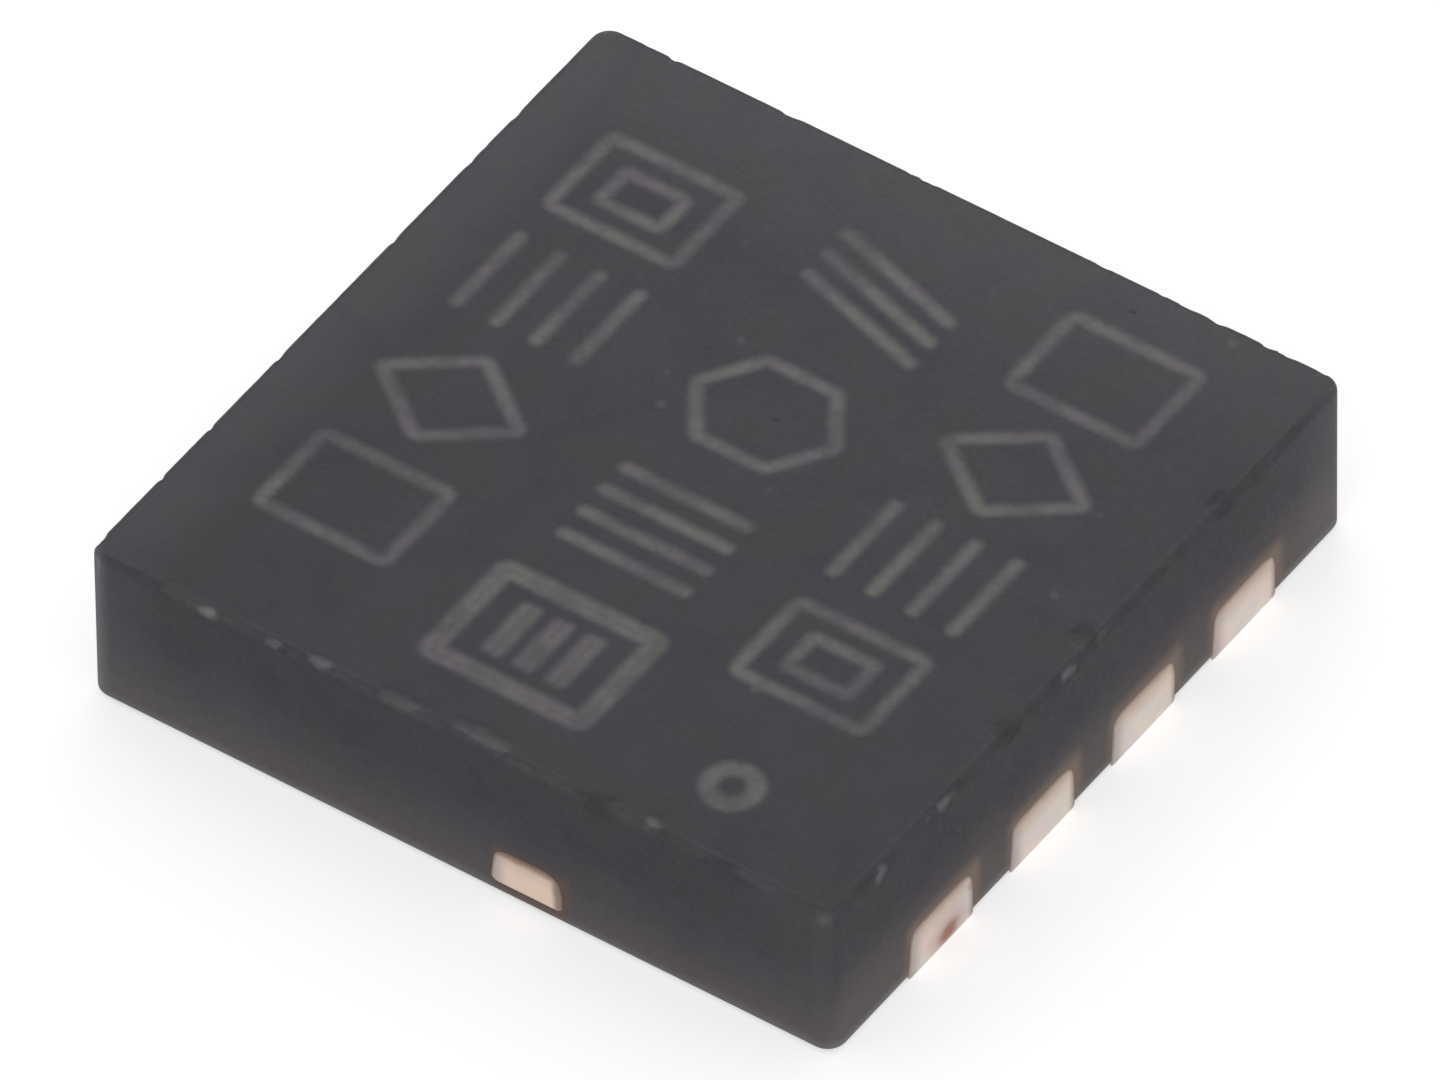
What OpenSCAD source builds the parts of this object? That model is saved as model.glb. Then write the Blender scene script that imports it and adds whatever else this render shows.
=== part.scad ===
// Leadless surface-mount power transistor, in millimetres.
// The origin is at the middle of the solder side. +Z points up from the board.
// Pins 1 to 4 are cut flush in the -Y wall, from -X to +X. Pins 5 to 8 are in the +Y wall.

/* [Moulded body] */
// Length of the body along its rows of leads
body_x = 3.3; // [3.2:0.05:3.6]
// Width of the body across its rows of leads
body_y = 3.3; // [3.2:0.05:3.6]
// Height from the board to the top face
package_h = 0.73; // [0.7:0.01:0.9]
// Gap between the board and the underside of the moulding
standoff = 0.015; // [0.005:0.005:0.05]
// Radius of the four upright corners
corner_r = 0.08; // [0.05:0.01:0.15]
// Rounding along the edge of the top face
top_edge_r = 0.03; // [0.01:0.005:0.045]
// Rounding along the edge of the underside
bottom_edge_r = 0.015; // [0.005:0.005:0.03]

/* [Lead frame] */
// Thickness of the copper sheet
frame_t = 0.21; // [0.18:0.01:0.25]
// Thickness that is left where the sheet is etched from below
etched_t = 0.13; // [0.1:0.01:0.15]
// Corner radius that etching leaves along a lead
etch_r = 0.03; // [0.01:0.005:0.045]
// Corner radius that etching leaves in the outline of a pad, a land or a lead's inner end
outline_r = 0.06; // [0.02:0.01:0.1]
// Width of a lead
lead_w = 0.38; // [0.28:0.01:0.42]
// Distance from one lead to the next
lead_pitch = 0.65; // [0.6:0.01:0.68]
// Length of a source or gate lead on the underside
lead_l = 0.43; // [0.33:0.01:0.53]
// Width of the exposed drain pad, along X
pad_w = 2.33; // [2:0.01:2.4]
// Length of the exposed drain pad, along Y
pad_l = 1.7; // [1.5:0.05:1.75]
// Gap on the underside between the source leads and the drain pad
pad_gap = 0.76; // [0.6:0.01:0.8]
// How far the etched ledge of the paddle stands out all round the pad
ledge = 0.1; // [0.05:0.01:0.15]
// How far an etched land reaches from its lead towards the paddle
land_reach = 0.3; // [0.25:0.01:0.4]
// How far an etched land reaches back over its lead
land_root = 0.1; // [0.05:0.01:0.2]
// Width of a tie bar
tie_w = 0.28; // [0.15:0.01:0.4]
// Distance from the front edge of the pad to the middle of the tie bars
tie_inset = 0.17; // [0.1:0.01:1.4]

/* [Die] */
// Length of the die along X
die_x = 1.9; // [1.5:0.05:2]
// Width of the die along Y
die_y = 1.3; // [1:0.05:1.4]
// Thickness of the die
die_t = 0.15; // [0.1:0.01:0.18]
// Thickness of the solder under the die
die_solder_t = 0.03; // [0.02:0.005:0.05]
// How far the solder under the die spreads at its foot
solder_spread = 0.04; // [0.01:0.01:0.05]
// Side of the square gate pad on the die
gate_pad = 0.3; // [0.2:0.01:0.35]
// Distance of the gate pad from the two nearest edges of the die
gate_pad_inset = 0.08; // [0.05:0.01:0.12]

/* [Source clip] */
// Thickness of the clip's copper strip
clip_t = 0.15; // [0.1:0.01:0.18]
// Thickness of the solder under the clip
clip_solder_t = 0.03; // [0.02:0.005:0.04]
// Distance of the clip from the edges of the die
clip_inset = 0.1; // [0.05:0.01:0.2]
// Gap between the clip and the gate pad
clip_gate_gap = 0.12; // [0.08:0.01:0.18]
// Inside radius of the two bends
clip_bend_r = 0.05; // [0.03:0.01:0.08]
// Slope of the strip between the two bends, in degrees
clip_slope = 40; // [30:1:50]
// Length of the clip's foot
foot_l = 0.28; // [0.2:0.01:0.32]
// Distance of the foot from the edges of the source land
foot_inset = 0.04; // [0.02:0.01:0.06]

/* [Gate wire] */
// Diameter of the bond wire
wire_d = 0.05; // [0.03:0.005:0.06]
// Diameter of the ball that is pressed onto the gate pad
ball_d = 0.11; // [0.08:0.01:0.15]
// Height of the ball
ball_h = 0.03; // [0.02:0.005:0.04]
// Height of the top of the loop above the die
loop_h = 0.2; // [0.14:0.01:0.24]
// Radius of the bend at the top of the loop
loop_r = 0.07; // [0.04:0.01:0.09]
// Length of the stitch on the gate land
stitch_l = 0.12; // [0.08:0.01:0.16]

/* [Hidden] */

// How far a cutting copy of a lead runs past the wall that it opens
cut_over = 0.1;
// Steps in each rounded corner: of the body's outline, of its edges, and of an etched section
corner_steps = 8;
edge_steps = 5;
etch_steps = 3;
// Steps in each bend of the clip
bend_steps = 5;
// Sides of the wire, and the steps along its bend and along its fall
wire_sides = 8;
bend_rings = 6;
fall_rings = 14;

// Places along Y, from the -Y wall to the +Y wall
wall_y = body_y / 2;
lead_end_y = lead_l - wall_y;
land_tip_y = lead_end_y + land_reach;
land_back_y = lead_end_y - land_root;
pad_front_y = lead_end_y + pad_gap;
pad_back_y = pad_front_y + pad_l;
tie_y = pad_front_y + tie_inset;
die_mid_y = (pad_front_y + pad_back_y) / 2;
die_front_y = die_mid_y - die_y / 2;

// Places along X
wall_x = body_x / 2;
first_lead_x = -1.5 * lead_pitch;
gate_lead_x = first_lead_x + 3 * lead_pitch;
source_land_x0 = first_lead_x - lead_w / 2;
source_land_x1 = first_lead_x + 2 * lead_pitch + lead_w / 2;

// Heights, from the board up
etched_z = frame_t - etched_t;
die_z = frame_t + die_solder_t;
die_top = die_z + die_t;
clip_z = die_top + clip_solder_t;
foot_z = frame_t + clip_solder_t;

// Gate pad
gate_pad_x = die_x / 2 - gate_pad_inset - gate_pad / 2;
gate_pad_y = die_front_y + gate_pad_inset + gate_pad / 2;

// Outline of the clip on the die, and the corner that it leaves free for the gate pad
plate_x = die_x / 2 - clip_inset;
plate_front_y = die_front_y + clip_inset;
plate_back_y = die_mid_y + die_y / 2 - clip_inset;
notch_x = gate_pad_x - gate_pad / 2 - clip_gate_gap;
notch_y = gate_pad_y + gate_pad / 2 + clip_gate_gap;

// The clip's leg stays over the source land
leg_x0 = max(-plate_x, source_land_x0 + foot_inset);
leg_x1 = min(notch_x, source_land_x1 - foot_inset);
foot_tip_y = land_tip_y - foot_inset;
foot_end_y = foot_tip_y - foot_l;

// The two bends of the clip, on the middle line of its strip
mid_bend_r = clip_bend_r + clip_t / 2;
clip_drop = clip_z - foot_z;
slope_l = (clip_drop - 2 * mid_bend_r * (1 - cos(clip_slope))) / sin(clip_slope);
slope_run = 2 * mid_bend_r * sin(clip_slope) + slope_l * cos(clip_slope);
bend_y = foot_tip_y + slope_run;

// The gate wire's ends and loop
land_mid_y = (land_tip_y + land_back_y) / 2;
stitch_y = land_mid_y + stitch_l / 2;
wire_dx = gate_lead_x - gate_pad_x;
wire_dy = stitch_y - gate_pad_y;
wire_run = sqrt(wire_dx * wire_dx + wire_dy * wire_dy);
loop_z = die_top + loop_h - wire_d / 2;
stitch_z = frame_t + wire_d / 2;
wire_start_z = die_top + ball_h / 2;

// Points of a rectangle with round corners, centred on the origin
function round_rect(w, h, r, steps) = [
    for (c = [0:3]) for (i = [0:steps])
        let (a = 90 * (c + i / steps))
        let (sx = (c == 0 || c == 3) ? 1 : -1)
        let (sy = (c < 2) ? 1 : -1)
        [sx * (w / 2 - r) + r * cos(a), sy * (h / 2 - r) + r * sin(a)]
];

// A round-cornered plate between two corners in plan and two heights
module plate(x0, x1, y0, y1, z0, z1, r) {
    translate([(x0 + x1) / 2, (y0 + y1) / 2, z0])
        linear_extrude(z1 - z0)
            polygon(round_rect(x1 - x0, y1 - y0, r, etch_steps));
}

// An etched bar along Y, centred on x
module bar_y(x, w, y0, y1, z0, z1) {
    translate([x, y1, (z0 + z1) / 2])
        rotate([90, 0, 0])
            linear_extrude(y1 - y0)
                polygon(round_rect(w, z1 - z0, etch_r, etch_steps));
}

// A source or gate lead: an etched bar from the -Y wall, round in plan at its inner end
module lead(x, over) {
    intersection() {
        bar_y(x, lead_w, -wall_y - over, lead_end_y, 0, frame_t);
        plate(
            x - lead_w / 2, x + lead_w / 2, -wall_y - over - lead_l, lead_end_y,
            -frame_t, 2 * frame_t, outline_r
        );
    }
}

// An etched bar along X, centred on y
module bar_x(y, w, x0, x1, z0, z1) {
    translate([x0, y, (z0 + z1) / 2])
        rotate([90, 0, 90])
            linear_extrude(x1 - x0)
                polygon(round_rect(w, z1 - z0, etch_r, etch_steps));
}

// Faces of a closed tube through rings of points, each ring anticlockwise as seen from the last ring
module loft(rings) {
    n = len(rings);
    sides = len(rings[0]);
    walls = [
        for (i = [0:n - 2]) for (k = [0:sides - 1])
            let (j = (k + 1) % sides)
            for (half = [0, 1])
                (half == 0)
                    ? [i * sides + k, (i + 1) * sides + k, i * sides + j]
                    : [i * sides + j, (i + 1) * sides + k, (i + 1) * sides + j]
    ];
    ends = [
        [for (k = [0:sides - 1]) k],
        [for (k = [sides - 1:-1:0]) (n - 1) * sides + k]
    ];
    polyhedron([for (ring = rings) for (p = ring) p], concat(walls, ends));
}

// Outline of the block at height z, drawn in from the walls by inset
function block_ring(z, inset) = [
    for (p = round_rect(body_x - 2 * inset, body_y - 2 * inset, corner_r - inset, corner_steps))
        [p[0], p[1], z]
];

// The moulded block before anything is set into it
module block() {
    loft([
        for (i = [0:edge_steps])
            let (a = 90 * i / edge_steps)
            block_ring(standoff + bottom_edge_r * (1 - cos(a)), bottom_edge_r * (1 - sin(a))),
        for (i = [0:edge_steps])
            let (a = 90 * i / edge_steps)
            block_ring(package_h - top_edge_r * (1 - sin(a)), top_edge_r * (1 - cos(a)))
    ]);
}

module mould_body() {
    color("#49494c")
        difference() {
            block();
            paddle_form(cut_over);
            source_form(cut_over);
            gate_form(cut_over);
            die_solder_form();
            die_form();
            clip_solder_form();
            clip_form();
            foot_solder_form();
            wire_form();
        }
}

// Paddle: exposed pad, etched ledge round it, four drain leads and a tie bar to each side wall
module paddle_form(over = 0) {
    plate(-pad_w / 2, pad_w / 2, pad_front_y, pad_back_y, 0, frame_t, outline_r);
    plate(
        -pad_w / 2 - ledge, pad_w / 2 + ledge, pad_front_y - ledge, pad_back_y + ledge,
        etched_z, frame_t, outline_r
    );
    for (i = [0:3])
        bar_y(first_lead_x + i * lead_pitch, lead_w, pad_back_y - ledge, wall_y + over, 0, frame_t);
    bar_x(tie_y, tie_w, -wall_x - over, wall_x + over, etched_z, frame_t);
}

module drain_paddle() {
    color("#c08a6c") paddle_form();
}

// Source lead: three leads that an etched land joins inside the body
module source_form(over = 0) {
    for (i = [0:2])
        lead(first_lead_x + i * lead_pitch, over);
    plate(source_land_x0, source_land_x1, land_back_y, land_tip_y, etched_z, frame_t, outline_r);
}

module source_lead() {
    color("#c08a6c") source_form();
}

// Gate lead: one lead with an etched land for the wire
module gate_form(over = 0) {
    lead(gate_lead_x, over);
    plate(
        gate_lead_x - lead_w / 2, gate_lead_x + lead_w / 2, land_back_y, land_tip_y,
        etched_z, frame_t, outline_r
    );
}

module gate_lead() {
    color("#c08a6c") gate_form();
}

// Solder under the die, which spreads towards its foot
module die_solder_form() {
    foot_x = die_x + 2 * solder_spread;
    foot_y = die_y + 2 * solder_spread;
    translate([0, die_mid_y, frame_t])
        linear_extrude(die_solder_t, scale = [die_x / foot_x, die_y / foot_y])
            square([foot_x, foot_y], center = true);
}

module die_attach_solder() {
    color("#a9abad") die_solder_form();
}

module die_form() {
    translate([-die_x / 2, die_front_y, die_z])
        cube([die_x, die_y, die_t]);
}

module silicon_die() {
    color("#5b6068") die_form();
}

// The clip's outline over the die, without the gate pad's corner
module plate_outline() {
    difference() {
        translate([-plate_x, plate_front_y])
            square([2 * plate_x, plate_back_y - plate_front_y]);
        translate([notch_x, plate_front_y - cut_over])
            square([2 * plate_x, notch_y - plate_front_y + cut_over]);
    }
}

module clip_solder_form() {
    translate([0, 0, die_top])
        linear_extrude(clip_solder_t)
            plate_outline();
}

module clip_die_solder() {
    color("#a9abad") clip_solder_form();
}

// Middle line of the strip from the plate down to the foot, as [y, z, slope of the strip]
function strip_line() = [
    [notch_y, clip_z + clip_t / 2, 0],
    for (i = [0:bend_steps])
        let (a = clip_slope * i / bend_steps)
        [bend_y - mid_bend_r * sin(a), clip_z + clip_t / 2 - mid_bend_r * (1 - cos(a)), a],
    for (i = [0:bend_steps])
        let (a = clip_slope * (1 - i / bend_steps))
        [foot_tip_y + mid_bend_r * sin(a), foot_z + clip_t / 2 + mid_bend_r * (1 - cos(a)), a],
    [foot_end_y, foot_z + clip_t / 2, 0]
];

// One side of the strip, half its thickness above or below the middle line
function strip_side(line, side) = [
    for (p = line) [p[0] - side * clip_t / 2 * sin(p[2]), p[1] + side * clip_t / 2 * cos(p[2])]
];

function reversed(points) = [for (i = [len(points) - 1:-1:0]) points[i]];

// The clip: a plate on the die and a leg that is bent down to the source land
module clip_form() {
    translate([0, 0, clip_z])
        linear_extrude(clip_t)
            plate_outline();
    line = strip_line();
    translate([leg_x0, 0, 0])
        rotate([90, 0, 90])
            linear_extrude(leg_x1 - leg_x0)
                polygon(concat(strip_side(line, 1), reversed(strip_side(line, -1))));
}

module source_clip() {
    color("#c9906f") clip_form();
}

// Solder between the clip's foot and the source land
module foot_solder_form() {
    translate([leg_x0, foot_end_y, frame_t])
        cube([leg_x1 - leg_x0, foot_l, clip_solder_t]);
}

module clip_lead_solder() {
    color("#a9abad") foot_solder_form();
}

// Middle line of the wire in its own upright plane, as [distance from the ball, height]
function wire_line() = [
    [0, wire_start_z],
    for (i = [0:bend_rings])
        let (a = 90 * i / bend_rings)
        [loop_r * (1 - cos(a)), loop_z - loop_r * (1 - sin(a))],
    for (i = [1:fall_rings])
        let (u = i / fall_rings)
        [loop_r + (wire_run - loop_r) * u, stitch_z + (loop_z - stitch_z) * (1 + cos(180 * u)) / 2]
];

// Unit direction of a line of points at point i
function line_dir(p, i) =
    let (d = p[min(i + 1, len(p) - 1)] - p[max(i - 1, 0)])
    d / norm(d);

// Ring round point i of a line in the XZ plane, square to the line
function tube_ring(p, i, d, sides) =
    let (t = (i == 0) ? [0, 1] : (i == len(p) - 1) ? [1, 0] : line_dir(p, i))
    [
        for (k = [0:sides - 1])
            let (a = 360 * (k + 0.5) / sides)
            let (across = sin(a) * d / 2)
            let (up = cos(a) * d / 2)
            [p[i][0] - t[1] * up, across, p[i][1] + t[0] * up]
    ];

// The wire: a ball on the gate pad, a loop, and a stitch on the gate land
module wire_form() {
    line = wire_line();
    translate([gate_pad_x, gate_pad_y, die_top])
        cylinder(h = ball_h, d = ball_d, $fn = 32);
    translate([gate_pad_x, gate_pad_y, 0])
        rotate([0, 0, atan2(wire_dy, wire_dx)])
            loft([for (i = [0:len(line) - 1]) tube_ring(line, i, wire_d, wire_sides)]);
    plate(
        gate_lead_x - wire_d, gate_lead_x + wire_d, stitch_y - stitch_l, stitch_y,
        frame_t, stitch_z, wire_d / 4
    );
}

module gate_wire() {
    color("#d9a15f") wire_form();
}

mould_body();
drain_paddle();
source_lead();
gate_lead();
die_attach_solder();
silicon_die();
clip_die_solder();
source_clip();
clip_lead_solder();
gate_wire();
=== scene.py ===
"""Finishes, laser marks, cut lead ends and stage for a leadless power transistor, laid out as an add-on."""

import math
from collections import namedtuple
from functools import reduce
from itertools import chain

import bmesh
import bpy
import numpy as np
from bpy.props import FloatProperty, FloatVectorProperty, IntProperty, PointerProperty
from mathutils import Matrix, Vector
from mathutils.geometry import delaunay_2d_cdt


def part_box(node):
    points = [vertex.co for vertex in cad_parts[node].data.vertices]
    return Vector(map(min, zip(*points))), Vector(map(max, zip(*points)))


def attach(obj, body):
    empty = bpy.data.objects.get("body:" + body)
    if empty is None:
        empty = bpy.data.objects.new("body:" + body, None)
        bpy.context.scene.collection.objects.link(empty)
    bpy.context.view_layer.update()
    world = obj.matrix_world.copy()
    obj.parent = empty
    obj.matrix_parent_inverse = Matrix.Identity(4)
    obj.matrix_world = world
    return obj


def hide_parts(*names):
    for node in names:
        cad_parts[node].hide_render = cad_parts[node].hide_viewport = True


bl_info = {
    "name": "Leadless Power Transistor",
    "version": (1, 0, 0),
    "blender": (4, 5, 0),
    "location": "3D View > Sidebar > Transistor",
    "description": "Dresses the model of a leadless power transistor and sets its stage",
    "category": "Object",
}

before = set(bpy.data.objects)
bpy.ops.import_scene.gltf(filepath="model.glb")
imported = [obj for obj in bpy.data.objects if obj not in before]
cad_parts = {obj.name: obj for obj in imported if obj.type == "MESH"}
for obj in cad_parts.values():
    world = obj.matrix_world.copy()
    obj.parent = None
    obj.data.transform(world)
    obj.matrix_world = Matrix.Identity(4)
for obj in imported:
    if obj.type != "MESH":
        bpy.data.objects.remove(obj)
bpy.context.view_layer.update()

MM = 0.001
MERGE = 1e-8
ON_FACE = 1e-6
BODY = "root"

# Sizes that the frame gives
block_low, block_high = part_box("mould_body")
wall_x, wall_y, top_z = block_high


# Property makers

def number(subtype="NONE", unit="NONE", scale=1, **limits):
    """A maker of number properties of one kind, whose defaults are given in units of scale."""
    def make(name, description, default):
        return FloatProperty(
            name=name, description=description, default=default * scale, subtype=subtype, unit=unit, **limits,
        )
    return make


length = number("DISTANCE", "LENGTH", MM, min=0, precision=6)
place = number("DISTANCE", "LENGTH", MM, precision=6)
angle = number("ANGLE", "ROTATION", math.radians(1))
factor = number("FACTOR", min=0, max=1)
amount = number(min=0)


def whole(name, description, default):
    return IntProperty(name=name, description=description, default=default, min=0)


def colour(name, description, default):
    return FloatVectorProperty(
        name=name, description=description, default=default, min=0, max=1, size=3, subtype="COLOR",
    )


# Settings, with lengths and places in millimetres and angles in degrees

class MouldingSettings(bpy.types.PropertyGroup):
    join_height: length("Join height", "Height at which the fine upper skin starts on the walls", 0.62)
    step: length("Outline step", "Spacing of points along the top edge", 0.01)
    edge_zone: length("Edge zone", "How far the fine mesh reaches down from the top edge", 0.055)
    edge_waver: length("Edge waver", "How far the worn top edge wavers in and out", 0.004)
    chip_depth: length("Chip depth", "Depth of the chips in the top edge and of the pits", 0.010)
    chip_count: whole("Chips", "Number of small chips round the top edge", 40)
    pit_count: whole("Pits", "Number of pits in the top face", 2)
    chip_seed: whole("Chip seed", "Seed of the chips and pits", 3)
    plain_colour: colour("Moulding", "Colour of the plain moulding", (0.0215, 0.0175, 0.0295))
    pale_colour: colour("Moulding, pale", "Colour of its paler patches", (0.041, 0.036, 0.0475))
    green_colour: colour("Moulding, greenish", "Colour of its greenish patches", (0.0285, 0.030, 0.0335))
    # The chip colour also paints the pale light at the foot of the walls, the highlight along the top edge
    # and the sheen towards the far ends
    chip_and_light_colour: colour("Chip", "Colour of the bare filler in a chip", (0.24, 0.235, 0.235))
    hollow_shade_colour: colour("Hollow", "Colour in the shade of a hollow", (0.021, 0.018, 0.014))
    # Painted light: the lower wall and wall foot colours lighten the walls towards their foot, as if by light
    # bounced up from the floor
    low_wall_light_colour: colour("Lower wall", "Colour of the saw dust low on the walls", (0.086, 0.078, 0.083))
    foot_light_colour: colour("Wall foot", "Colour of the warm dust at the foot of the walls", (0.27, 0.22, 0.19))
    stain_colour: colour("Copper stain", "Colour of the wall round a sawn lead", (0.23, 0.165, 0.135))
    tie_stain_colour: colour("Tie bar stain", "Colour of the wall round a tie bar", (0.118, 0.070, 0.052))
    roughness: factor("Moulded roughness", "Roughness of the top and underside", 0.54)
    sawn_roughness: factor("Sawn roughness", "Roughness of the sawn walls", 0.70)


class MarkSettings(bpy.types.PropertyGroup):
    stroke: length("Stroke width", "Width of one laser stroke", 0.054)
    softness: length("Stroke softness", "Width over which a stroke fades out", 0.045)
    depth: length("Stroke depth", "Depth that the laser takes away", 0.0025)
    wobble: length("Stroke wobble", "How far the edge of a stroke wanders", 0.006)
    cell_width: length("Cell width", "Width of one mark", 0.42)
    cell_height: length("Cell height", "Height of one mark", 0.56)
    fine_step: length("Fine step", "Spacing of mesh points near a stroke", 0.0105)
    coarse_step: length("Coarse step", "Spacing of mesh points away from the strokes", 0.08)
    mark_colour: colour("Mark", "Colour of the laser marks", (0.138, 0.142, 0.128))
    mark_tint: colour("Mark, lilac", "Colour of their lilac stretches", (0.135, 0.122, 0.134))


class LeadSettings(bpy.types.PropertyGroup):
    cap_rise: length("Smear rise", "How far the smeared copper stands out of the wall", 0.003)
    cap_step: length("Smear step", "Spacing of mesh points on the smeared copper", 0.008)
    over_top: length("Over the top", "How far the smear reaches over the moulding above", 0.027)
    over_exit: length("Over the exit side", "How far it reaches over where the saw leaves", 0.026)
    entry_gap: length("Entry gap", "How far it stays short of where the saw enters", 0.010)
    foot_spread: length("Foot spread", "How far its foot spreads against the saw", 0.020)
    over_foot: length("Over the foot", "How far the smear of a raised end reaches down", 0.014)
    exit_corner: length("Exit corner", "Rounding of the upper corner where the saw leaves", 0.095)
    entry_corner: length("Entry corner", "Rounding of the upper corner where the saw enters", 0.055)
    foot_corner: length("Foot corner", "Rounding of the two lower corners", 0.02)
    smear: length("Smear wander", "How far the outline of the smear wanders", 0.008)
    smear_size: length("Smear size", "Usual size of one wander of the outline", 0.07)
    groove_depth: length("Saw groove depth", "Depth of the saw's grooves in the copper", 0.0022)
    groove_pitch: length("Saw groove pitch", "Usual distance between two grooves", 0.022)
    seed: whole("Seed", "Seed of the smear's outline", 4)
    scorch_x: place("Scorch, along X", "Middle of the scorched spot on a source lead", -0.918)
    scorch_z: place("Scorch, height", "Height of the middle of the scorched spot", 0.052)
    scorch_size: length("Scorch size", "Length of the scorched spot", 0.135)
    cut_colour: colour("Cut copper", "Colour of the sawn copper", (0.84, 0.69, 0.62))
    cut_yellow: colour("Cut copper, yellowish", "Colour of its yellowish patches", (0.82, 0.735, 0.62))
    cut_grey: colour("Cut copper, greyish", "Colour of its greyish patches", (0.76, 0.69, 0.67))
    tie_colour: colour("Cut tie bar", "Colour of the sawn copper of a tie bar", (0.80, 0.61, 0.50))
    cut_shade: colour("Cut copper, shaded", "Colour of the band under its upper edge", (0.66, 0.53, 0.44))
    smear_colour: colour("Copper smear", "Colour of the thin smear where the saw enters", (0.44, 0.38, 0.365))
    # The scorch and copper rim colours also paint the shade along the top of the cut ends
    scorch_and_shade_colour: colour("Scorch", "Colour of the scorched spot", (0.36, 0.16, 0.11))
    rim_and_shade_colour: colour("Copper rim", "Colour of the oxidised copper round a cut end", (0.18, 0.12, 0.10))
    copper_colour: colour("Copper", "Colour of the rolled copper inside", (0.72, 0.40, 0.27))
    tin_colour: colour("Tin", "Colour of the matt tin on the solder faces", (0.62, 0.62, 0.61))
    tin_shade: colour("Tin, shaded", "Colour between the grains of the tin", (0.42, 0.42, 0.42))


class InnerSettings(bpy.types.PropertyGroup):
    solder_colour: colour("Solder", "Colour of the solder", (0.50, 0.50, 0.52))
    silicon_colour: colour("Silicon", "Colour of the die", (0.10, 0.11, 0.14))
    wire_colour: colour("Wire", "Colour of the bond wire", (0.80, 0.52, 0.25))


class StageSettings(bpy.types.PropertyGroup):
    azimuth: angle("Azimuth", "Camera direction round the object; 0 looks along +Y", -54.72)
    elevation: angle("Elevation", "Camera height above the horizon", 45.69)
    roll: angle("Roll", "Camera roll", -0.75)
    distance: length("Distance", "From the camera to the middle of the object", 145.94)
    lens: amount("Lens", "Focal length in millimetres on a 36 mm sensor", 1000)
    aim_right: place("Aim right", "Sideways offset of the point aimed at", 0.0083)
    aim_up: place("Aim up", "Upward offset of the point aimed at", -0.021)
    floor_radius: length("Floor radius", "Radius of the floor", 400)
    floor_gap: length("Floor gap", "How far the floor lies below the solder faces", 0.002)
    floor_colour: colour("Floor", "Colour of the floor", (0.86, 0.86, 0.86))
    floor_lift: amount("Floor lift", "Brightness that the camera sees on top of the floor's own", 0.46)
    under_reach: length("Underside reach", "How near the floor a surface is lit from below", 0.04)
    under_light: amount("Underside light", "Brightness of the light from below", 0.9)
    sky: amount("Sky", "Brightness of the light from all round", 0.64)
    back_lamp: amount("Back lamp", "Brightness of the near lamp behind the object", 0.9)
    side_lamp: amount("Side lamp", "Brightness of the lamp on the camera's side", 1.0)


# Node trees

# Spacing of the nodes in the node editor, and how many stand in one column
NODE_WIDTH, NODE_HEIGHT, COLUMN = 220, 260, 4


def arithmetic(operation, swapped=False):
    """A method that works out one operation on a value and another, or the other way round."""
    def method(self, other=0.0):
        return self.graph.math(operation, *((other, self) if swapped else (self, other)))
    return method


class Value:
    """An output of a node, which takes part in sums as a number does."""

    def __init__(self, graph, socket):
        self.graph = graph
        self.socket = socket

    __add__ = __radd__ = arithmetic("ADD")
    __sub__ = arithmetic("SUBTRACT")
    __rsub__ = arithmetic("SUBTRACT", swapped=True)
    __mul__ = __rmul__ = arithmetic("MULTIPLY")
    __truediv__ = arithmetic("DIVIDE")
    __rtruediv__ = arithmetic("DIVIDE", swapped=True)
    __gt__ = arithmetic("GREATER_THAN")
    __lt__ = arithmetic("LESS_THAN")
    __abs__ = arithmetic("ABSOLUTE")

    def sibling(self, name):
        """Another output of the same node."""
        return Value(self.graph, self.socket.node.outputs[name])

    def ramp(self, low, high, to_low=0.0, to_high=1.0):
        """Smooth step of the value from low to high."""
        return self.graph.add(
            "ShaderNodeMapRange", {"interpolation_type": "SMOOTHSTEP"},
            i0=self, i1=low, i2=high, i3=to_low, i4=to_high,
        )


def is_vector(term):
    return isinstance(term, tuple) or (isinstance(term, Value) and term.socket.type == "VECTOR")


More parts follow.
